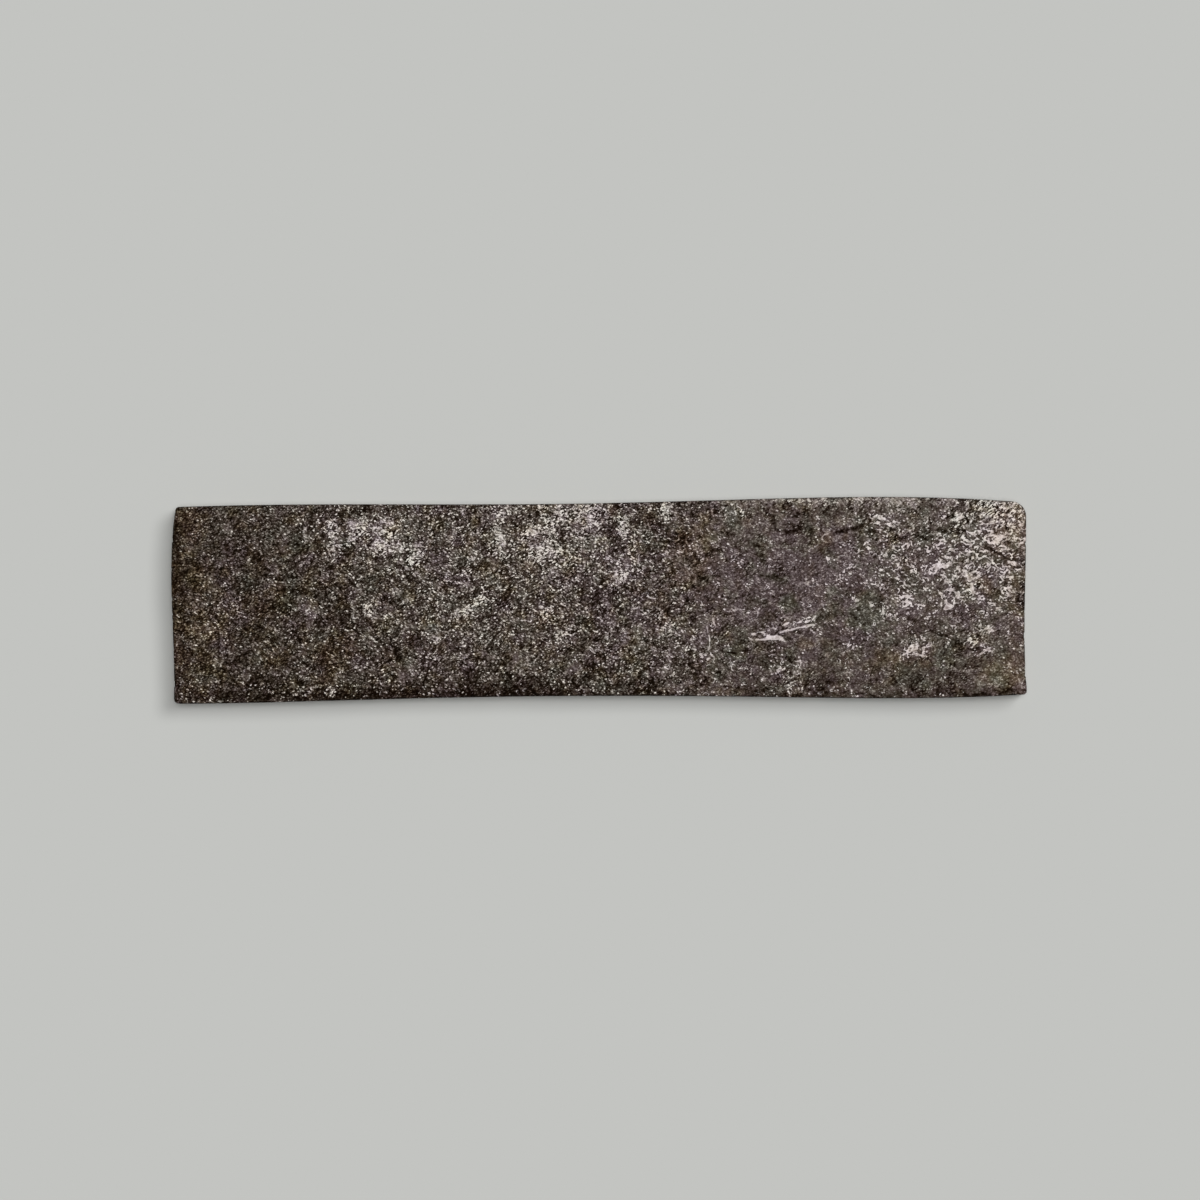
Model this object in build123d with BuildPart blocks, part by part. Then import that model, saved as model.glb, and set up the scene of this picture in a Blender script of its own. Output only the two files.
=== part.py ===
from build123d import *
from math import ceil, cos, floor, pi, radians, tan
import os

# A brick-look porcelain subway tile: one dry-pressed, fired piece, lying face up.
# Millimetres. +X runs along the tile, +Y across it, and +Z up out of the face. The origin is
# under the middle of the tile, on the plane of its back. Upper, lower, left and right are
# those of the tile seen from above with +Y up.

# Overall size
length = 250.0
width = 59.2
thickness = 10.0  # at the highest crown of the face

# Sides: they lean in from the back to the face, and roll over into the face at the arris
side_draft = 1.4  # degrees from upright
arris_radius = 0.7

# Corner radii of the back's outline
upper_left_radius = 1.2
upper_right_radius = 4.6
lower_right_radius = 1.3
lower_left_radius = 1.5

# Moulded outline: how far each edge draws in from the overall rectangle at its corners
left_lean = 1.3  # left end, at its upper corner
left_foot_inset = 0.3  # left end, at its lower corner
left_drop = 1.3  # upper edge, at the left end
right_drop = 1.9  # upper edge, at the right end
right_lift = 0.8  # lower edge, at the right end

# Between the corners: where an edge turns, from the nearer corner's side of the rectangle or
# from its middle, and how far it draws in there. It reaches the rectangle at its peaks.
upper_crown_from_left = 37.5
upper_crown_inset = 0.85
upper_waist_x = -15.0
upper_waist_inset = 1.3
upper_rise_x = 37.5
upper_rise_inset = 0.5
upper_peak_from_right = 37.5
lower_peak_from_left = 10.0
lower_fall_x = -67.5
lower_fall_inset = 0.8
lower_waist_x = -20.0
lower_waist_inset = 1.4
lower_rise_x = 45.0
lower_rise_inset = 0.75
lower_peak_from_right = 25.0
left_shoulder_from_top = 11.25
left_shoulder_inset = 0.2
left_belly_y = -2.4
right_peak_from_top = 13.6
right_waist_y = -1.2
right_waist_inset = 0.5

# Face: crossing swells that all crest at one crown, each with its wavelength along X and Y
swell_depth = 0.9  # from the crown to the deepest hollow
crown_x = 72.0
crown_y = 9.0
swells = [(92.0, 150.0), (-64.0, 82.0), (230.0, -52.0)]
swell_step = 8.0  # spacing of the heights that the face passes through
face_overhang = 8.0  # how far the face surface runs past the outline
trim_height = 1.0  # how far the sides run up past the crown before the face trims them

# Back: a waffle of shallow square cells that keys the adhesive
cell_pitch = 12.5
rib_width = 2.5
cell_depth = 0.6
cell_corner_chamfer = 0.8
cell_wall_draft = 30.0  # degrees from upright
back_border = 4.0  # least plain margin between the cells and the outline


def outline(plane, inset):
    """The tile's outline on a plane, drawn in all round by inset."""
    half_length = length / 2 - inset
    half_width = width / 2 - inset
    upper_left = (-half_length + left_lean, half_width - left_drop)
    upper_right = (half_length, half_width - right_drop)
    lower_right = (half_length, -half_width + right_lift)
    lower_left = (-half_length + left_foot_inset, -half_width)
    corner_radii = [
        (upper_left, upper_left_radius),
        (upper_right, upper_right_radius),
        (lower_right, lower_right_radius),
        (lower_left, lower_left_radius),
    ]
    with BuildSketch(plane) as sketch:
        with BuildLine():
            Spline(
                upper_left,
                (upper_crown_from_left - length / 2, half_width - upper_crown_inset),
                (upper_waist_x, half_width - upper_waist_inset),
                (upper_rise_x, half_width - upper_rise_inset),
                (length / 2 - upper_peak_from_right, half_width),
                upper_right,
            )
            Spline(
                upper_right,
                (half_length, width / 2 - right_peak_from_top),
                (half_length - right_waist_inset, right_waist_y),
                lower_right,
            )
            Spline(
                lower_right,
                (length / 2 - lower_peak_from_right, -half_width),
                (lower_rise_x, -half_width + lower_rise_inset),
                (lower_waist_x, -half_width + lower_waist_inset),
                (lower_fall_x, -half_width + lower_fall_inset),
                (lower_peak_from_left - length / 2, -half_width),
                lower_left,
            )
            Spline(
                lower_left,
                (-half_length, left_belly_y),
                (-half_length + left_shoulder_inset, width / 2 - left_shoulder_from_top),
                upper_left,
            )
        make_face()
        for corner, radius in corner_radii:
            fillet(sketch.vertices().sort_by_distance(corner)[0], radius - inset)
    return sketch.sketch


def face_height(x, y):
    """Height of the pressed face over a point: the swells' mean, with the crown at the thickness."""
    turns = [(x - crown_x) / along + (y - crown_y) / across for along, across in swells]
    mean_wave = sum(cos(2 * pi * turn) for turn in turns) / len(turns)
    return thickness - swell_depth * (1 - mean_wave) / 2


def stations(size):
    """Evenly spaced places from one side of the face surface to the other."""
    reach = size + 2 * face_overhang
    count = ceil(reach / swell_step) + 1
    return [reach * (i / (count - 1) - 0.5) for i in range(count)]


def cell_count(size):
    """How many cells of the back fit across a size, inside its border."""
    return max(1, floor((size - 2 * back_border + rib_width) / cell_pitch))


# The pressed face, as one smooth surface that is larger than the tile
pressed_face = Face.make_surface_from_array_of_points(
    [[(x, y, face_height(x, y)) for y in stations(width)] for x in stations(length)]
)

blank_height = thickness + trim_height
draft_inset = blank_height * tan(radians(side_draft))
cell_size = cell_pitch - rib_width

# The sides are lofted past the face, the face trims them, and the back is keyed last
with BuildPart() as tile:
    loft(
        [outline(Plane.XY, 0), outline(Plane.XY.offset(blank_height), draft_inset)],
        ruled=True,
    )
    split(bisect_by=pressed_face, keep=Keep.BOTTOM)
    face_rim = tile.faces().sort_by(Axis.Z)[-1].outer_wire().edges()
    fillet(face_rim, arris_radius)
    with BuildSketch(Plane.XY) as cells:
        with GridLocations(cell_pitch, cell_pitch, cell_count(length), cell_count(width)):
            Rectangle(cell_size, cell_size)
        chamfer(cells.vertices(), cell_corner_chamfer)
    extrude(amount=cell_depth, taper=cell_wall_draft, mode=Mode.SUBTRACT)

tile.part.label = "tile"
os.makedirs("parts", exist_ok=True)
export_step(tile.part, "parts/tile.step")

size = tile.part.bounding_box().size
print(f"tile {size.X:.2f} x {size.Y:.2f} x {size.Z:.2f} mm, {tile.part.volume / 1000:.1f} cm3")
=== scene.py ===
import math

import bmesh
import bpy
import numpy as np
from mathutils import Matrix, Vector
from mathutils import noise as fractal
from mathutils.bvhtree import BVHTree
from mathutils.geometry import delaunay_2d_cdt
from mathutils.kdtree import KDTree


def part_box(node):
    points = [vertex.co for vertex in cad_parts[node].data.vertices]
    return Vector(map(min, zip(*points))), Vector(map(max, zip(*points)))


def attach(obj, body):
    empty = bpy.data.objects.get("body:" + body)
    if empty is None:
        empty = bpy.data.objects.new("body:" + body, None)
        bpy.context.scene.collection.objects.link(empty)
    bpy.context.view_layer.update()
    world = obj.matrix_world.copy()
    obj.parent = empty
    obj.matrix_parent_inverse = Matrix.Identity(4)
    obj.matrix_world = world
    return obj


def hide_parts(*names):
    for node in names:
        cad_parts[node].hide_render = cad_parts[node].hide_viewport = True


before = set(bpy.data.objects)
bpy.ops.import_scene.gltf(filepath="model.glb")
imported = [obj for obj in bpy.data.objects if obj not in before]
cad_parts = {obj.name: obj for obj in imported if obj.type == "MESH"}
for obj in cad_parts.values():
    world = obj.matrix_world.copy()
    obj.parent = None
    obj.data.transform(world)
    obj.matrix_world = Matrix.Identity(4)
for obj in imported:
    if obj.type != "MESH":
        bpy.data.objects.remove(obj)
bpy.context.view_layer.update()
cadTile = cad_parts["tile"]
mm = 0.001


# Camera: straight down on the face, turned a little as the tile lies in the picture
shot = {
    "lens": 135.0,  # mm
    "sensor": 36.0,  # mm
    "frameWidth": 350.3 * mm,  # across the picture, at the height of the arris
    "sightHeight": 9.3 * mm,  # the arris
    "turn": 0.45,  # degrees, right end of the tile up
    "aim": (0.21 * mm, -0.04 * mm),
    "clipStart": 0.01,  # metres
}


def placeCamera():
    lens = bpy.data.cameras.new("overhead")
    lens.lens = shot["lens"]
    lens.sensor_width = shot["sensor"]
    lens.clip_start = shot["clipStart"]
    camera = bpy.data.objects.new("overhead", lens)
    reach = shot["frameWidth"] * shot["lens"] / shot["sensor"]
    camera.location = (*shot["aim"], shot["sightHeight"] + reach)
    camera.rotation_euler = (0, 0, -math.radians(shot["turn"]))
    bpy.context.scene.collection.objects.link(camera)
    bpy.context.scene.camera = camera


placeCamera()
print("camera placed")


# Places on the face are read from the photograph, in its 1200 x 1200 pixels
photo = {
    "centre": (599.27, 599.88),  # pixel over the middle of the tile
    "pixel": 0.29243,  # mm
}


def faceSpot(px, py):
    # photo pixel to mm on the tile
    right = (px - photo["centre"][0]) * photo["pixel"]
    up = (photo["centre"][1] - py) * photo["pixel"]
    turn = math.radians(shot["turn"])
    return (
        right * math.cos(turn) + up * math.sin(turn),
        up * math.cos(turn) - right * math.sin(turn),
    )


# Skin: an even sheet of points wrapped on the CAD tile, over the face, the arris and the sides
skin = {
    "spacing": 0.455,  # mm between points of the face
    "border": 5.2,  # mm from the CAD box to where the even grid begins
    "rimInset": 1.5,  # mm in from the outline, where the face hands over to the arris
    "rimRings": 7,
    "sideRings": 11,
    "wallLevels": (1.5, 7.5),  # mm up the side, where its lean is read
}


def wallBelow(tree, corner, heading):
    # where a ray out of the tile meets its side, at two levels
    hits = []
    for level in skin["wallLevels"]:
        hit = tree.ray_cast(Vector((*corner, level)) * mm, Vector((*heading, 0)))[0]
        hits.append(np.array(hit) / mm)
    return hits


def outlineStations(low, high):
    # start point and heading of each ray around the tile, side by side, corner to corner
    west, south = low[:2] + skin["border"]
    east, north = high[:2] - skin["border"]
    corners = np.array([(west, south), (east, south), (east, north), (west, north)])
    halfCorner = math.pi / 4  # radians
    fan = round((skin["border"] - skin["rimInset"]) * halfCorner / skin["spacing"])
    sides = []
    for k in range(4):
        start, end = corners[k], corners[(k + 1) % 4]
        along = (end - start) / np.linalg.norm(end - start)
        out = np.array((along[1], -along[0]))
        rays = []
        for i in range(fan):
            angle = halfCorner * (1 - i / fan)
            rays.append((start, out * math.cos(angle) - along * math.sin(angle)))
        steps = round(np.linalg.norm(end - start) / skin["spacing"])
        for i in range(steps + 1):
            rays.append((start + (end - start) * i / steps, out))
        for i in range(1, fan + 1):
            angle = halfCorner * i / fan
            rays.append((end, out * math.cos(angle) + along * math.sin(angle)))
        sides.append(rays)
    return sides


def wrapSkin():
    mesh = cadTile.data
    tree = BVHTree.FromPolygons([v.co for v in mesh.vertices], [p.vertices for p in mesh.polygons])
    low, high = (np.array(c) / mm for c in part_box("tile"))
    down = Vector((0, 0, -1))

    def faceHeight(x, y):
        return tree.ray_cast(Vector((x, y, 2 * high[2])) * mm, down)[0].z / mm

    # profile of the rim at each station: from the face over the arris, then down the side to its foot
    columns = []
    for rays in outlineStations(low, high):
        side = []
        for start, heading in rays:
            lower, upper = wallBelow(tree, start, heading)
            lean = (upper - lower) / (upper[2] - lower[2])
            foot = lower - lean * lower[2]
            brink = upper[:2] - heading * skin["rimInset"]
            top = faceHeight(*brink)
            hub = np.array((*brink, top - skin["rimInset"]))
            column = [np.array((*brink, top))]
            for i in range(1, skin["rimRings"] + 1):
                angle = math.pi / 2 * (1 - i / skin["rimRings"])
                ray = Vector((*(heading * math.cos(angle)), math.sin(angle)))
                column.append(np.array(tree.ray_cast(Vector(hub) * mm, ray)[0]) / mm)
            last = column[-1]
            for i in range(1, skin["sideRings"] + 1):
                column.append(last + (foot - last) * i / skin["sideRings"])
            side.append(np.array(column))
        columns.append(np.array(side))

    # face grid between the four brinks: a Coons patch in plan, with its heights from the CAD face
    south, east, north, west = (side[:, 0, :2] for side in columns)
    north, west = north[::-1], west[::-1]
    countX, countY = len(south), len(east)
    u = np.linspace(0, 1, countX)[:, None, None]
    v = np.linspace(0, 1, countY)[None, :, None]
    plan = (1 - v) * south[:, None] + v * north[:, None] + (1 - u) * west[None] + u * east[None]
    plan -= (1 - v) * ((1 - u) * south[0] + u * south[-1])
    plan -= v * ((1 - u) * north[0] + u * north[-1])
    grid = np.empty((countX, countY, 3))
    grid[..., :2] = plan
    for i in range(countX):
        for j in range(countY):
            grid[i, j, 2] = faceHeight(*plan[i, j])

    # ring of grid points round the brink, in the order of the stations
    number = np.arange(countX * countY).reshape(countX, countY)
    ring = np.concatenate([number[:-1, 0], number[-1, :-1], number[:0:-1, -1], number[0, :0:-1]])
    profile = np.concatenate([side[:-1] for side in columns])
    points = [grid.reshape(-1, 3)]
    rings = [ring]
    total = countX * countY
    for k in range(1, profile.shape[1]):
        points.append(profile[:, k])
        rings.append(np.arange(total, total + len(ring)))
        total += len(ring)
    corners = [number[:-1, :-1], number[1:, :-1], number[1:, 1:], number[:-1, 1:]]
    quads = [np.stack(corners, -1).reshape(-1, 4)]
    for upper, lower in zip(rings, rings[1:]):
        quads.append(np.stack([upper, lower, np.roll(lower, -1), np.roll(upper, -1)], -1))
    return np.clip(np.concatenate(points), low, high), np.concatenate(quads), rings


skinPoints, skinQuads, skinRings = wrapSkin()
print("skin wrapped,", len(skinPoints), "points,", 2 * len(skinQuads), "triangles")


# Back: the CAD tile's own cells, and a flat web filled in between them and the foot of the sides
back = {
    "merge": 0.002,  # mm, corners of the CAD mesh that are closer than this are one
    "margin": 3.0,  # mm, the cells stay this far inside the foot of the sides
    "deepest": 1.0,  # mm, the cells are shallower than this
    "flat": 0.001,  # mm, what lies lower than this is the bedding face
    "weld": 1e-6,  # mm, points of the web that are closer than this would be one
}


def cellFaces(merged, footRing):
    # faces of the CAD mesh that line the cells
    reach = np.abs(skinPoints[footRing, :2]).max(0) - back["margin"]
    kept = []
    for face in merged.faces:
        corners = np.array([v.co for v in face.verts]) / mm
        inside = (np.abs(corners[:, :2]) < reach).all()
        if inside and back["flat"] < corners[:, 2].max() < back["deepest"]:
            kept.append(face)
    return kept


def cellOwners(kept):
    # which cell each face lines, found by walking over shared edges
    lining = set(kept)
    owner = {}
    count = 0
    for face in kept:
        if face in owner:
            continue
        stack = [face]
        while stack:
            one = stack.pop()
            if one in owner:
                continue
            owner[one] = count
            stack += [f for e in one.edges for f in e.link_faces if f in lining and f not in owner]
        count += 1
    return owner, count


def backParts(footRing):
    merged = bmesh.new()
    merged.from_mesh(cadTile.data)
    bmesh.ops.remove_doubles(merged, verts=merged.verts, dist=back["merge"] * mm)
    kept = cellFaces(merged, footRing)
    owner, cellCount = cellOwners(kept)
    cornerNumber = {}
    pointCell = {}
    points, faces = [], []
    for face in kept:
        for v in face.verts:
            if v.index not in cornerNumber:
                cornerNumber[v.index] = len(points)
                points.append(np.array(v.co) / mm)
            pointCell[cornerNumber[v.index]] = owner[face]
        faces.append([cornerNumber[v.index] for v in face.verts])
    rimEdges = []
    for face in kept:
        for e in face.edges:
            if sum(f in owner for f in e.link_faces) == 1:
                rimEdges.append(tuple(cornerNumber[v.index] for v in e.verts))
    merged.free()

    # constrained triangles between the foot ring and the rims of the cells, which stay open
    rimPoints = sorted({i for e in rimEdges for i in e})
    count = len(footRing)
    place = {p: count + k for k, p in enumerate(rimPoints)}
    flatPoints = [Vector(skinPoints[i, :2]) for i in footRing] + [Vector(points[p][:2]) for p in rimPoints]
    lines = [(i, (i + 1) % count) for i in range(count)] + [(place[a], place[b]) for a, b in rimEdges]
    insideOnly = 1
    found = delaunay_2d_cdt(flatPoints, lines, [], insideOnly, back["weld"])
    if len(found[0]) != len(flatPoints):
        raise SystemExit("the web of the back met itself")
    origin = [ids[0] for ids in found[3]]
    web = []
    for triangle in found[2]:
        ids = [origin[i] for i in triangle]
        touched = {pointCell[rimPoints[i - count]] if i >= count else None for i in ids}
        if len(touched) > 1 or None in touched:
            web.append(ids[::-1])
    return np.array(points), faces, rimPoints, web, cellCount


def joinTile():
    footRing = skinRings[-1]
    points, faces, rimPoints, web, cellCount = backParts(footRing)
    first = len(skinPoints)
    count = len(footRing)
    allPoints = np.concatenate([skinPoints, points]) * mm
    backFaces = [[first + i for i in f] for f in faces]
    for ids in web:
        backFaces.append([int(footRing[i]) if i < count else first + rimPoints[i - count] for i in ids])
    mesh = bpy.data.meshes.new("pressedTile")
    mesh.from_pydata(allPoints.tolist(), [], skinQuads.tolist() + backFaces)
    mesh.update()
    isBack = np.zeros(len(mesh.polygons), dtype=bool)
    isBack[len(skinQuads):] = True
    mesh.attributes.new("isBack", "BOOLEAN", "FACE").data.foreach_set("value", isBack)
    mesh.polygons.foreach_set("use_smooth", ~isBack)
    shell = bmesh.new()
    shell.from_mesh(mesh)
    loose = sum(not e.is_manifold for e in shell.edges)
    turned = sum(not e.is_contiguous for e in shell.edges)
    volume = shell.calc_volume(signed=True) / mm**3 / 1000
    shell.free()
    print(f"back joined, {cellCount} cells, {loose} open edges, {turned} turned edges, {volume:.1f} cm3")
    return mesh


tileMesh = joinTile()


# Helpers for node trees, of the relief and of the materials alike
def put(tree, kind, links=None, **settings):
    # a node with its settings, and its inputs set or linked by name or number
    node = tree.nodes.new(kind)
    for name, value in settings.items():
        setattr(node, name, value)
    for key, value in (links or {}).items():
        if isinstance(value, bpy.types.NodeSocket):
            tree.links.new(value, node.inputs[key])
        else:
            node.inputs[key].default_value = value
    return node


def calc(tree, operation, a, b=0.0):
    return put(tree, "ShaderNodeMath", {0: a, 1: b}, operation=operation).outputs[0]


def chain(tree, operation, values):
    total = values[0]
    for value in values[1:]:
        total = calc(tree, operation, total, value)
    return total


def plus(tree, *values):
    return chain(tree, "ADD", values)


def times(tree, *values):
    return chain(tree, "MULTIPLY", values)


def most(tree, *values):
    return chain(tree, "MAXIMUM", values)


def span(tree, value, low, high, toLow=0.0, toHigh=1.0):
    # a soft step from toLow to toHigh while value goes from low to high
    links = {"Value": value, "From Min": low, "From Max": high, "To Min": toLow, "To Max": toHigh}
    return put(tree, "ShaderNodeMapRange", links, interpolation_type="SMOOTHSTEP").outputs[0]


def blend(tree, share, a, b):
    return put(tree, "ShaderNodeMix", {"Factor": share, "A": a, "B": b}, data_type="FLOAT").outputs[0]


def mixed(tree, layers, recipe):
    # layers times their weights, added up on a level, through a soft step where the recipe has one
    parts = []
    for name, weight in recipe.items():
        if name == "level":
            parts.append(weight)
        elif name != "step":
            parts.append(layers[name] if weight == 1 else times(tree, layers[name], weight))
    total = plus(tree, *parts)
    return span(tree, total, *recipe["step"]) if "step" in recipe else total


def scaled(tree, vector, amount):
    return put(tree, "ShaderNodeVectorMath", {0: vector, "Scale": amount}, operation="SCALE").outputs[0]


def stretched(tree, where, angle, along, across):
    # coordinates turned by angle, then drawn out, so that noise runs in streaks
    turn = {"Vector": where, "Angle": math.radians(angle)}
    turned = put(tree, "ShaderNodeVectorRotate", turn, rotation_type="Z_AXIS").outputs[0]
    shape = (1 / along, 1 / across, 1.0)
    return put(tree, "ShaderNodeVectorMath", {0: turned, 1: shape}, operation="MULTIPLY").outputs[0]


def noise(tree, where, size, seed, detail=1, rough=0.5, warp=0.0, streak=None, ridged=False):
    # smooth noise of mean 0 and spread 1, whose coarsest lattice is size mm, or its distance from 0
    if streak:
        where = stretched(tree, where, *streak)
    links = {
        "Vector": where,
        "W": seed,
        "Scale": calc(tree, "DIVIDE", 1.0, size) if isinstance(size, bpy.types.NodeSocket) else 1 / size,
        "Detail": detail,
        "Roughness": rough,
        "Distortion": warp,
    }
    raw = put(tree, "ShaderNodeTexNoise", links, noise_dimensions="4D").outputs[0]
    weights = [rough**i for i in range(detail + 1)]
    plainSpread = 0.119  # of one octave
    spread = plainSpread * math.hypot(*weights) / sum(weights)
    value = times(tree, calc(tree, "SUBTRACT", raw, 0.5), 1 / spread)
    return calc(tree, "ABSOLUTE", value) if ridged else value


def cells(tree, where, size, seed):
    # grains of size mm: two chances from 0 to 1 for each grain, and the distance from its middle
    seedStep = (31.7, 17.3, 5.9)  # mm
    shift = [seed * step for step in seedStep]
    moved = put(tree, "ShaderNodeVectorMath", {0: where, 1: shift}, operation="ADD").outputs[0]
    found = put(tree, "ShaderNodeTexVoronoi", {"Vector": moved, "Scale": 1 / size})
    chances = put(tree, "ShaderNodeSeparateColor", {0: found.outputs["Color"]}).outputs
    return chances[0], chances[1], found.outputs["Distance"]


def linear(red, green, blue):
    # a colour as it looks, 0 to 255, in the light values that shaders take
    values = []
    for one in (red, green, blue):
        share = one / 255
        values.append(share / 12.92 if share <= 0.04045 else ((share + 0.055) / 1.055) ** 2.4)
    return (*values, 1.0)


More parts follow.
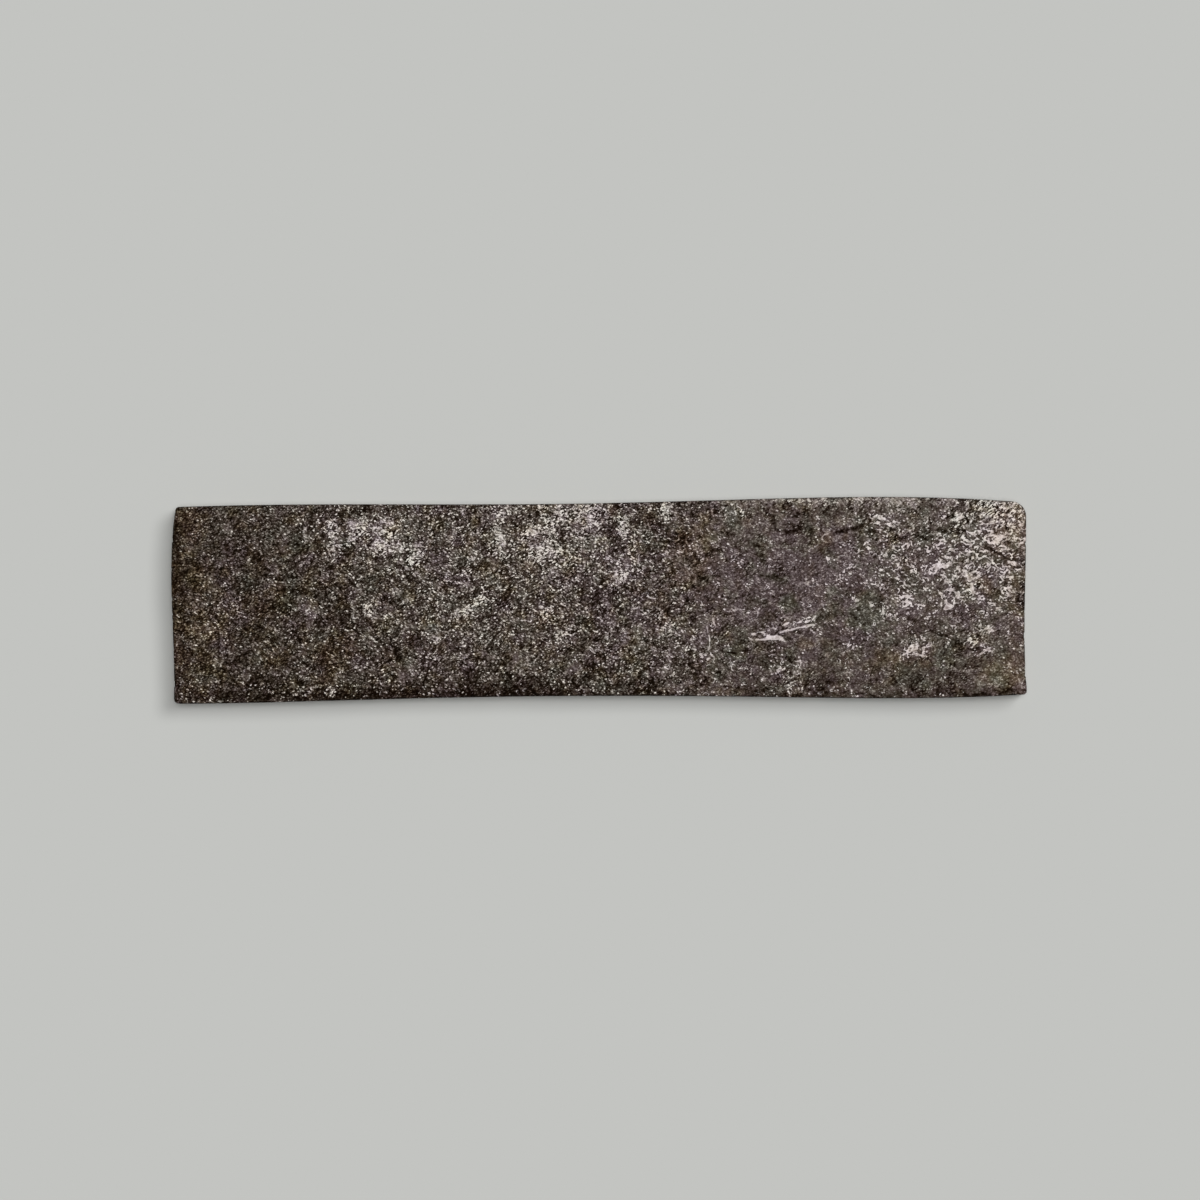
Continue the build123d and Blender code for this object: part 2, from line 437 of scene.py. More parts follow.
# Marks on the face. Spots are (x, y, half width, half height, amount), in photo pixels
marks = {
    # where pale slip was left: broad washes first, then the clear patches, roughly from left to right
    "pale": [
        (225, 545, 80, 50, -0.14), (190, 610, 30, 90, -0.05), (250, 665, 90, 30, -0.05),
        (240, 598, 60, 36, 0.02), (385, 540, 75, 40, 0.08), (545, 540, 100, 45, 0.12),
        # the thin wash at (572, 508) along the top edge is a painted highlight on the lit arris
        (480, 612, 80, 36, 0.08), (610, 600, 70, 80, 0.03), (572, 508, 90, 6, 0.10),
        (885, 552, 46, 70, 0.13), (960, 558, 68, 70, 0.28), (1004, 525, 30, 30, 0.20),
        (330, 688, 160, 8, 0.04), (980, 682, 48, 14, -0.12), (333, 526, 7, 13, 0.36),
        (333, 549, 5, 12, 0.24), (357, 527, 9, 10, 0.68), (386, 528, 11, 7, 0.28),
        (386, 546, 15, 6, 0.48), (413, 556, 7, 10, 0.44), (369, 610, 6, 8, 0.30), (331, 689, 8, 5, 0.30),
        (435, 641, 6, 5, 0.34), (464, 612, 13, 5, 0.38), (481, 600, 6, 6, 0.50), (467, 574, 7, 7, 0.22),
        (504, 513, 8, 5, 0.66), (498, 538, 6, 18, 0.42), (530, 531, 6, 6, 0.70), (545, 526, 11, 10, 0.24),
        (560, 513, 5, 9, 0.66), (545, 553, 14, 8, 0.34), (552, 549, 6, 6, 0.30), (547, 612, 6, 9, 0.28),
        (564, 634, 7, 6, 0.40), (589, 514, 12, 13, 0.56), (624, 527, 5, 10, 0.36), (666, 512, 6, 9, 0.62),
        (642, 566, 11, 7, 0.20), (621, 578, 13, 7, 0.28), (668, 628, 12, 6, 0.36), (689, 648, 7, 8, 0.28),
        (711, 657, 6, 5, 0.36), (733, 513, 10, 7, 0.46), (744, 565, 8, 6, 0.30), (757, 611, 8, 8, 0.08),
        (740, 668, 13, 8, 0.26), (780, 668, 12, 7, 0.22), (797, 681, 10, 8, 0.22), (797, 503, 9, 5, 0.20),
        (790, 626, 12, 7, 0.14), (826, 555, 6, 7, 0.30), (811, 628, 6, 9, 0.16), (879, 518, 7, 5, 0.56),
        (894, 524, 6, 5, 0.40), (886, 611, 8, 6, 0.50), (903, 603, 11, 5, 0.50), (915, 648, 13, 9, 0.85),
        (972, 641, 6, 5, 0.44), (919, 653, 8, 8, 0.40), (930, 548, 7, 7, 0.30), (935, 567, 11, 6, 0.50),
        (958, 517, 5, 4, 0.30), (966, 540, 6, 9, 0.36), (967, 575, 9, 8, 0.90), (975, 588, 7, 7, 0.40),
        (950, 599, 9, 12, 0.36), (995, 608, 6, 5, 0.40), (991, 512, 6, 8, 0.50), (1003, 517, 6, 7, 0.50),
        (1010, 505, 13, 7, 0.30), (994, 539, 7, 12, 0.34), (1009, 520, 13, 22, 0.16),
        (988, 562, 10, 6, 0.36), (1009, 584, 6, 10, 0.40), (983, 631, 10, 5, 0.38),
        (985, 651, 12, 5, 0.38),
    ],
    # shade of the skin, up for lighter and down for darker; along the left and bottom edges it is painted
    # shade, along the top edge at the right a painted highlight
    "shade": [
        (176, 600, 10, 110, -0.75), (230, 600, 70, 110, -0.15), (300, 640, 80, 50, -0.20),
        (240, 538, 9, 16, -0.36), (286, 594, 9, 16, -0.46), (331, 664, 14, 17, -0.44),
        (343, 515, 8, 7, -0.90), (365, 510, 8, 5, -0.60), (346, 544, 9, 7, -0.60),
        (190, 690, 18, 8, -0.50), (235, 690, 24, 8, -0.50), (284, 688, 22, 8, -0.80),
        (330, 693, 22, 7, -0.60), (376, 692, 18, 7, -0.80), (440, 513, 32, 10, -0.34),
        (434, 538, 6, 18, -0.60), (472, 566, 9, 7, -0.44), (455, 582, 14, 5, -0.40),
        (410, 618, 6, 6, -0.70), (493, 607, 8, 9, -0.36), (522, 629, 10, 10, -0.40),
        (519, 530, 7, 6, -0.80), (506, 524, 7, 4, -0.70), (549, 515, 6, 4, -0.90),
        (583, 523, 5, 5, -0.80), (592, 601, 7, 14, -0.44), (601, 580, 5, 6, -0.50),
        (415, 689, 24, 8, -0.80), (465, 688, 30, 8, -0.80), (520, 687, 26, 8, -0.80),
        (560, 690, 26, 7, -0.50), (627, 509, 9, 6, -0.50), (652, 520, 7, 11, -0.44),
        (614, 538, 9, 12, -0.44), (671, 531, 9, 8, -0.46), (660, 569, 7, 6, -0.46),
        (648, 597, 8, 13, -0.34), (690, 633, 6, 7, -0.40), (765, 660, 10, 10, -0.44),
        (640, 684, 30, 7, -0.46), (760, 689, 18, 7, -0.44), (840, 684, 40, 7, -0.26),
        (926, 534, 7, 7, -0.36), (932, 625, 10, 8, -0.40), (955, 640, 12, 10, -0.34),
        (985, 590, 6, 9, -0.40), (1010, 611, 5, 5, -0.50), (1010, 646, 10, 10, -0.30),
        (950, 689, 34, 7, -0.10), (1009, 690, 13, 5, -0.70), (970, 694, 50, 3, -0.50),
        # the long spot at (850, 499) is a painted highlight along the lit top edge
        (985, 674, 44, 16, 0.16), (1008, 520, 16, 24, 0.25), (850, 499, 150, 6, 1.10),
        # painted shade along the bottom edge
        (380, 696, 210, 5, -0.90), (740, 695, 270, 4, -0.60),
    ],
    # share of leathery skin, against sandy grain
    "leather": [
        (690, 600, 60, 160, 0.22), (728, 600, 40, 140, 0.42), (795, 600, 60, 140, 0.75),
        (870, 600, 60, 140, 0.75), (950, 600, 60, 140, 0.70), (1020, 600, 40, 140, 0.45),
        (985, 676, 60, 26, 0.45), (440, 560, 14, 18, 0.35), (347, 528, 14, 18, 0.35),
        (213, 540, 14, 9, 0.50), (293, 548, 14, 10, 0.50), (490, 562, 9, 10, 0.45),
        (526, 625, 8, 9, 0.45), (515, 658, 16, 10, 0.55), (570, 666, 14, 9, 0.55),
    ],
    # hues, up to 1
    "olive": [
        (690, 555, 26, 60, 0.55), (485, 570, 20, 14, 0.55), (285, 600, 30, 24, 0.45),
        (335, 665, 22, 26, 0.50), (985, 586, 8, 9, 0.80), (890, 660, 18, 10, 0.60),
        (935, 655, 28, 16, 0.25), (998, 672, 30, 17, 0.50), (826, 538, 7, 6, 0.70),
        (842, 537, 5, 5, 0.50), (805, 644, 10, 6, 0.60), (733, 692, 14, 4, 0.50),
        (190, 600, 24, 100, 0.70), (521, 527, 6, 7, 0.60), (583, 523, 6, 6, 0.40), (345, 513, 9, 7, 0.50),
        (527, 531, 6, 6, 0.40), (968, 582, 14, 12, 0.50), (474, 524, 7, 6, 0.50),
        (240, 650, 40, 30, 0.25), (1006, 525, 22, 34, 0.90), (1016, 620, 12, 60, 0.60),
    ],
    "purple": [
        (630, 550, 36, 24, 0.55), (780, 580, 90, 40, 0.70), (383, 537, 9, 6, 0.80),
        (931, 570, 10, 7, 0.40), (560, 513, 7, 7, 0.35), (860, 560, 40, 30, 0.30),
        (625, 600, 80, 90, 0.25), (1006, 525, 22, 34, 0.60),
    ],
    "green": [
        (412, 560, 16, 16, 0.55), (735, 653, 17, 15, 0.90), (788, 650, 8, 9, 0.70),
        (865, 625, 20, 20, 0.90), (942, 660, 11, 10, 0.80), (790, 600, 14, 10, 0.60),
        (347, 544, 12, 9, 0.60), (298, 545, 13, 10, 0.90),
    ],
    # strokes are lines of (x, y, half width): smears of slip, with the scratch left of them
    "slip": [
        [
            (766.5, 636.8, 1.4), (771.5, 638.0, 2.5), (776.0, 637.6, 2.5),
            (780.0, 638.2, 1.7), (784.5, 641.6, 0.5),
        ],
        [(750.5, 639.0, 0.7), (758.0, 639.6, 1.0), (768.0, 639.2, 1.3)],
        [(757.8, 632.0, 0.9), (763.0, 632.4, 0.9), (768.5, 636.6, 1.2)],
        [(752.2, 634.0, 1.2), (754.8, 633.8, 1.3)],
        [(779.0, 632.8, 0.7), (784.6, 630.9, 1.0), (790.9, 629.9, 1.0), (798.0, 627.2, 0.9)],
        [(798.0, 627.2, 0.9), (805.0, 626.8, 1.0), (810.5, 624.8, 1.2), (814.5, 625.4, 0.9)],
        [(783.4, 625.2, 1.1), (786.0, 623.8, 1.5), (788.6, 622.6, 0.8)],
        [(794.4, 623.4, 0.7), (800.6, 621.6, 1.0)],
        [(806.6, 621.6, 1.0), (811.4, 620.0, 1.1)],
        [(813.6, 617.8, 1.0), (816.4, 615.4, 0.9)],
        [(771.0, 622.2, 0.6), (773.6, 627.8, 0.9), (774.4, 629.6, 0.9), (776.8, 627.0, 0.7)],
        [(811.0, 630.0, 0.9), (814.4, 633.2, 0.7)],
        [(823.6, 621.8, 0.9), (826.2, 625.0, 0.8)],
        [
            (829.0, 533.4, 0.3), (823.4, 534.6, 0.5), (821.0, 538.4, 0.6),
            (824.6, 542.2, 0.6), (830.0, 541.6, 0.3),
        ],
        [(758.8, 608.4, 0.4), (757.4, 613.2, 0.6), (756.6, 617.0, 0.3)],
        [
            (706.4, 626.4, 0.6), (708.2, 633.0, 0.9), (709.2, 639.2, 0.9),
            (709.2, 645.0, 0.8), (708.2, 650.4, 0.5),
        ],
        [(712.8, 618.6, 0.6), (715.0, 627.0, 0.7)],
        [(953.5, 520.6, 1.0), (957.8, 518.2, 1.9), (961.6, 517.2, 1.0)],
        [(976.5, 655.8, 0.4), (983.0, 652.0, 0.8), (990.0, 647.4, 0.5)],
        [(965.6, 636.2, 0.4), (978.0, 631.0, 0.6), (991.6, 626.8, 0.4)],
    ],
    # folds of the skin, a raised lip with painted shadow along the fold under it, from left to right
    "fold": [
        [
            (773.0, 516.0, 0.4), (773.6, 522.0, 0.9), (775.4, 529.4, 1.2),
            (788.0, 532.0, 1.5), (800.4, 528.0, 0.5),
        ],
        [(836.0, 532.4, 0.4), (846.0, 530.4, 1.1), (856.0, 527.6, 1.1), (862.4, 525.6, 0.4)],
        [(882.0, 537.0, 0.4), (891.0, 538.8, 1.2), (900.0, 538.4, 1.3), (907.0, 536.6, 0.4)],
        [(918.4, 536.4, 0.5), (923.4, 538.8, 1.2), (929.0, 540.4, 0.4)],
        [(935.0, 530.4, 0.5), (944.0, 531.8, 1.4), (956.0, 532.4, 1.5), (966.0, 530.6, 0.5)],
        [(947.0, 517.6, 0.5), (954.0, 515.6, 0.8)],
        [(985.0, 547.0, 0.5), (994.0, 551.0, 1.3), (1003.0, 556.4, 0.6)],
        [(1006.0, 558.8, 0.5), (1014.0, 559.6, 1.0), (1021.0, 558.6, 0.6)],
        [(846.6, 612.0, 0.4), (852.4, 614.6, 0.8), (856.6, 619.6, 0.4)],
        [(907.6, 618.0, 0.2), (917.0, 622.0, 0.5), (924.0, 631.0, 0.2)],
        [(868.6, 530.4, 0.6), (875.4, 530.8, 0.6)],
        [(722.6, 596.6, 0.3), (735.0, 598.2, 0.6), (748.4, 595.0, 0.3)],
        [(760.0, 576.0, 0.3), (772.0, 577.4, 0.6), (785.0, 575.4, 0.3)],
        [(722.0, 651.0, 0.2), (735.0, 653.0, 0.4), (749.0, 651.0, 0.2)],
        [(785.0, 657.4, 0.3), (790.0, 661.4, 0.7), (794.6, 664.0, 0.3)],
        [(930.0, 630.0, 0.3), (939.0, 634.4, 0.7), (947.0, 636.0, 0.3)],
        [(966.0, 648.4, 0.5), (972.0, 650.0, 0.9), (979.0, 648.6, 0.5)],
    ],
}


painting = {
    "spotted": ("pale", "shade", "leather", "olive", "purple", "green"),
    "spotEdge": 1.4,  # 1 for a soft border, more for a firm one
    "fray": [(7.0, 0.9), (2.4, 0.7)],  # mm: size of the waves that push spots about, and their push
    "fraySeed": 5,  # without a seed, the borders would differ from run to run
}


def spotField(spots, plan):
    total = np.zeros(len(plan))
    for px, py, wide, tall, amount in spots:
        x, y = faceSpot(px, py)
        across = (plan[:, 0] - x) / (wide * photo["pixel"])
        down = (plan[:, 1] - y) / (tall * photo["pixel"])
        total += amount * np.exp(-((across**2 + down**2) ** painting["spotEdge"]))
    return total


def strokeRuns(stroke):
    # straight runs of a stroke: both ends and their half widths, in mm
    ends = [(np.array(faceSpot(px, py)), half * photo["pixel"]) for px, py, half in stroke]
    return zip(ends, ends[1:])


def strokeField(strokes, plan):
    # gap in mm from each point to the nearest stroke's edge, below 0 inside it
    gap = np.full(len(plan), np.inf)
    for stroke in strokes:
        for (a, halfA), (b, halfB) in strokeRuns(stroke):
            share = np.clip((plan - a) @ (b - a) / ((b - a) @ (b - a)), 0, 1)
            away = np.hypot(*(plan - a - share[:, None] * (b - a)).T)
            gap = np.minimum(gap, away - halfA - (halfB - halfA) * share)
    return gap


fold = {
    "lipReach": 2.6,  # mm, how far the raised lip runs back from its fold
    "grooveReach": 0.8,  # mm
    "fullWidth": 1.5,  # pixels, half width of a fold that stands its full height
    "sharpest": 0.01,  # mm, closer points are taken to be this far off
}


def foldField(strokes, plan):
    # raised on the left of each stroke as it runs, and cut in on its right
    height = np.zeros(len(plan))
    for stroke in strokes:
        nearest = np.full(len(plan), np.inf)
        level = np.zeros(len(plan))
        for (a, halfA), (b, halfB) in strokeRuns(stroke):
            run = (b - a) / np.linalg.norm(b - a)
            share = np.clip((plan - a) @ (b - a) / ((b - a) @ (b - a)), 0, 1)
            offset = plan - a - share[:, None] * (b - a)
            away = np.hypot(*offset.T)
            side = run[0] * offset[:, 1] - run[1] * offset[:, 0]
            strength = (halfA + (halfB - halfA) * share) / (fold["fullWidth"] * photo["pixel"])
            squareness = np.abs(side) / np.maximum(away, fold["sharpest"])
            lip = np.exp(-away / fold["lipReach"])
            groove = -np.exp(-away / fold["grooveReach"])
            here = strength * squareness * np.where(side > 0, lip, groove)
            level = np.where(away < nearest, here, level)
            nearest = np.minimum(nearest, away)
        height += level
    return height


def edgeField():
    # mm in from the arris on the face, and below 0 for mm down the side
    arris = skinRings[skin["rimRings"]]
    outline = KDTree(len(arris))
    for k, i in enumerate(arris):
        outline.insert(Vector((*skinPoints[i, :2], 0)), k)
    outline.balance()
    gap = np.empty(len(skinPoints))
    for i, point in enumerate(skinPoints):
        gap[i] = outline.find(Vector((*point[:2], 0)))[2]
    for ring in skinRings[skin["rimRings"] :]:
        gap[ring] = skinPoints[ring, 2] - skinPoints[arris, 2]
    return gap


def frayedPlan():
    # the plan of the skin pushed about, so that spots get uneven borders
    fractal.seed_set(painting["fraySeed"])
    frayed = skinPoints[:, :2].copy()
    for i, point in enumerate(skinPoints):
        for reach, push in painting["fray"]:
            shift = fractal.noise_vector(Vector((*point[:2], reach)) / reach)
            frayed[i] += push * shift.x, push * shift.y
    return frayed


def paintFields(mesh):
    plan = skinPoints[:, :2]
    frayed = frayedPlan()
    fields = {name: spotField(marks[name], frayed) for name in painting["spotted"]}
    fields["leather"] = np.clip(fields["leather"], 0, 1)
    fields["slipGap"] = strokeField(marks["slip"], plan)
    fields["foldGap"] = strokeField(marks["fold"], plan)
    fields["foldRise"] = foldField(marks["fold"], plan)
    fields["edgeGap"] = edgeField()
    for name, values in fields.items():
        whole = np.zeros(len(mesh.vertices), dtype=np.float32)
        whole[: len(values)] = values
        mesh.attributes.new(name, "FLOAT", "POINT").data.foreach_set("value", whole)


paintFields(tileMesh)
print("marks laid out,", sum(len(m) for m in marks.values()), "of them")


# Relief: what the press, the grain and the kiln did to the skin, cut inwards from the CAD surface
relief = {
    "Base depth": 0.25,  # mm, so that lips and lumps stay inside the CAD tile
    "Grain size": 1.05,  # mm
    "Grain depth": 0.16,
    "Lump size": 6.5,
    "Lump depth": 0.35,
    "Leather size": 2.6,
    "Leather depth": 0.22,
    "Fold height": 0.32,
    "Slip height": 0.10,
    "Nick size": 1.9,
    "Nick depth": 0.32,
    "Side depth": 0.14,
    "Seed": 7.0,
}


# How the relief is cut: its noise, with the input for its size and what it adds to the seed, and soft steps
carving = {
    "noise": {
        "grain": {"size": "Grain size", "seed": 0.0, "detail": 2, "rough": 0.6},
        "lump": {"size": "Lump size", "seed": 11.0, "detail": 2, "rough": 0.55},
        "plate": {"size": "Leather size", "seed": 23.0, "detail": 2, "warp": 0.4, "streak": (-6, 2.1, 1.0)},
        "nick": {"size": "Nick size", "seed": 37.0, "rough": 0.55},
        "side": {"size": "Grain size", "seed": 41.0, "detail": 2, "rough": 0.6},
    },
    "hollow": (1.6, -1.6),  # from the crests of a noise to its hollows
    "upperPlate": (0.55, 0.15, 0.0, 0.45),
    "lowerPlate": (-0.45, -0.85, 0.0, 0.55),
    "grainOnLeather": (0.0, 1.0, 1.0, 0.4),
    "slip": (0.25, -0.25),  # mm out from a smear's edge
    "face": (0.0, 2.0),  # mm in from the arris
    "rim": (1.6, 0.3),  # mm off the arris
    "nick": (0.3, 1.6),
    "side": (0.0, -1.0),  # mm in from the arris, so down the side
    "foot": (0.0, 1.2),  # mm up
    "faintGrain": 0.4,  # share of the grain in the hollows of the leather
}


def reliefTree(faceLook, backLook):
    tree = bpy.data.node_groups.new("pressedRelief", "GeometryNodeTree")
    tree.interface.new_socket("Geometry", in_out="INPUT", socket_type="NodeSocketGeometry")
    for name, value in relief.items():
        tree.interface.new_socket(name, in_out="INPUT", socket_type="NodeSocketFloat").default_value = value
    tree.interface.new_socket("Geometry", in_out="OUTPUT", socket_type="NodeSocketGeometry")
    given = tree.nodes.new("NodeGroupInput").outputs
    position = tree.nodes.new("GeometryNodeInputPosition").outputs[0]
    where = scaled(tree, position, 1 / mm)

    def field(name, kind="FLOAT"):
        node = put(tree, "GeometryNodeInputNamedAttribute", {"Name": name}, data_type=kind)
        return node.outputs["Attribute"]

    def pattern(name):
        recipe = dict(carving["noise"][name])
        recipe["size"] = given[recipe["size"]]
        recipe["seed"] = plus(tree, given["Seed"], recipe["seed"])
        return noise(tree, where, **recipe)

    def step(name, value):
        return span(tree, value, *carving[name])

    # the face: grain, lumps, leathery plates with steep edges, folds and slip
    edge = field("edgeGap")
    leather = field("leather")
    grainHollow = step("hollow", pattern("grain"))
    lumpHollow = step("hollow", pattern("lump"))
    plate = pattern("plate")
    plateHollow = plus(tree, step("upperPlate", plate), step("lowerPlate", plate))
    cuts = plus(
        tree,
        given["Base depth"],
        times(tree, given["Grain depth"], grainHollow, step("grainOnLeather", leather)),
        times(tree, given["Lump depth"], lumpHollow),
        times(tree, given["Leather depth"], plateHollow, leather),
    )
    lifts = plus(
        tree,
        times(tree, given["Fold height"], field("foldRise")),
        times(tree, given["Slip height"], step("slip", field("slipGap"))),
    )
    faceCut = times(tree, most(tree, calc(tree, "SUBTRACT", cuts, lifts), 0.0), step("face", edge))

    # the arris is nicked, and the sides are a little rough, down to a straight foot
    rim = step("rim", calc(tree, "ABSOLUTE", edge))
    nickCut = times(tree, given["Nick depth"], rim, step("nick", pattern("nick")))
    height = put(tree, "ShaderNodeSeparateXYZ", {0: where}).outputs[2]
    onSide = times(tree, step("side", edge), step("foot", height))
    sideCut = times(tree, given["Side depth"], onSide, step("hollow", pattern("side")))

    depth = plus(tree, faceCut, nickCut, sideCut)
    normal = tree.nodes.new("GeometryNodeInputNormal").outputs[0]
    offset = scaled(tree, normal, times(tree, depth, -mm))
    moved = put(tree, "GeometryNodeSetPosition", {"Geometry": given["Geometry"], "Offset": offset}).outputs[0]
    leatherHollow = plus(tree, times(tree, grainHollow, carving["faintGrain"]), plateHollow)
    stored = {"Geometry": moved, "Name": "hollow", "Value": blend(tree, leather, grainHollow, leatherHollow)}
    kept = put(tree, "GeometryNodeStoreNamedAttribute", stored, data_type="FLOAT", domain="POINT").outputs[0]
    whole = put(tree, "GeometryNodeRealizeInstances", {"Geometry": kept}).outputs[0]
    glazed = put(tree, "GeometryNodeSetMaterial", {"Geometry": whole, "Material": faceLook}).outputs[0]
    bare = {"Geometry": glazed, "Selection": field("isBack", "BOOLEAN"), "Material": backLook}
    dressed = put(tree, "GeometryNodeSetMaterial", bare).outputs[0]
    put(tree, "NodeGroupOutput", {"Geometry": dressed})
    return tree


# Looks: colours as they show in the photograph, 0 to 255
looks = {
    "skin": [  # by tone, from the darkest hollows to the palest grains
        (-3.0, (8, 3, 0)), (-2.3, (15, 7, 1)), (-1.6, (24, 14, 7)),
        (-0.7, (50, 41, 33)), (0.0, (76, 66, 60)), (0.7, (102, 93, 86)),
        (1.6, (165, 156, 148)), (2.3, (211, 202, 193)), (3.0, (235, 228, 219)),
    ],
    "slip": [(-2.0, (150, 139, 133)), (0.0, (206, 196, 190)), (2.0, (240, 232, 226))],
    # painted shadow round the raised lace of slip
    "laceShadow": (22, 15, 9),
    # a dark line painted along the arris: partly the glaze's darker edge, partly painted shade where the
    # rounded edge turns down from the light
    "arris": (24, 18, 13),
    "body": (158, 147, 135),  # raw fired body, on the sides and the back
    "bodyDark": (112, 102, 92),
    "dust": (190, 184, 174),  # kiln dust on the ribs of the back
    "olive": (1.10, 1.0, 0.70),  # hues multiply
    "purple": (1.00, 0.93, 1.12),
    "green": (0.865, 1.0, 0.96),
    "glazeRoughness": 0.85,
    "bodyRoughness": 0.9,
    "specular": 0.03,
}


def toneRamp(tree, tone, stops):
    low, high = stops[0][0], stops[-1][0]
    share = put(tree, "ShaderNodeMapRange", {"Value": tone, "From Min": low, "From Max": high}).outputs[0]
    ramp = put(tree, "ShaderNodeValToRGB", {"Fac": share})
    band = ramp.color_ramp
    while len(band.elements) < len(stops):
        band.elements.new(0.5)
    for element, (place, colour) in zip(band.elements, stops):
        element.position = (place - low) / (high - low)
        element.color = linear(*colour)
    return ramp.outputs[0]


def tinted(tree, share, a, b, way="MIX"):
    node = put(tree, "ShaderNodeMix", {"Factor": share}, data_type="RGBA", blend_type=way)
    for socket, value in ((node.inputs[6], a), (node.inputs[7], b)):
        if isinstance(value, bpy.types.NodeSocket):
            tree.links.new(value, socket)
        else:
            socket.default_value = value
    return node.outputs[2]


def newMaterial(name, roughness):
    material = bpy.data.materials.new(name)
    material.use_nodes = True
    tree = material.node_tree
    tree.nodes.clear()
    finish = {"Roughness": roughness, "Specular IOR Level": looks["specular"]}
    surface = put(tree, "ShaderNodeBsdfPrincipled", finish)
    put(tree, "ShaderNodeOutputMaterial", {"Surface": surface.outputs[0]})
    coords = tree.nodes.new("ShaderNodeTexCoord").outputs["Object"]
    return material, tree, surface, scaled(tree, coords, 1 / mm)


def finishSurface(tree, surface, colour, height):
    # the height is in mm
    tree.links.new(colour, surface.inputs["Base Color"])
    bump = put(tree, "ShaderNodeBump", {"Height": height, "Distance": mm, "Strength": 1.0})
    tree.links.new(bump.outputs[0], surface.inputs["Normal"])


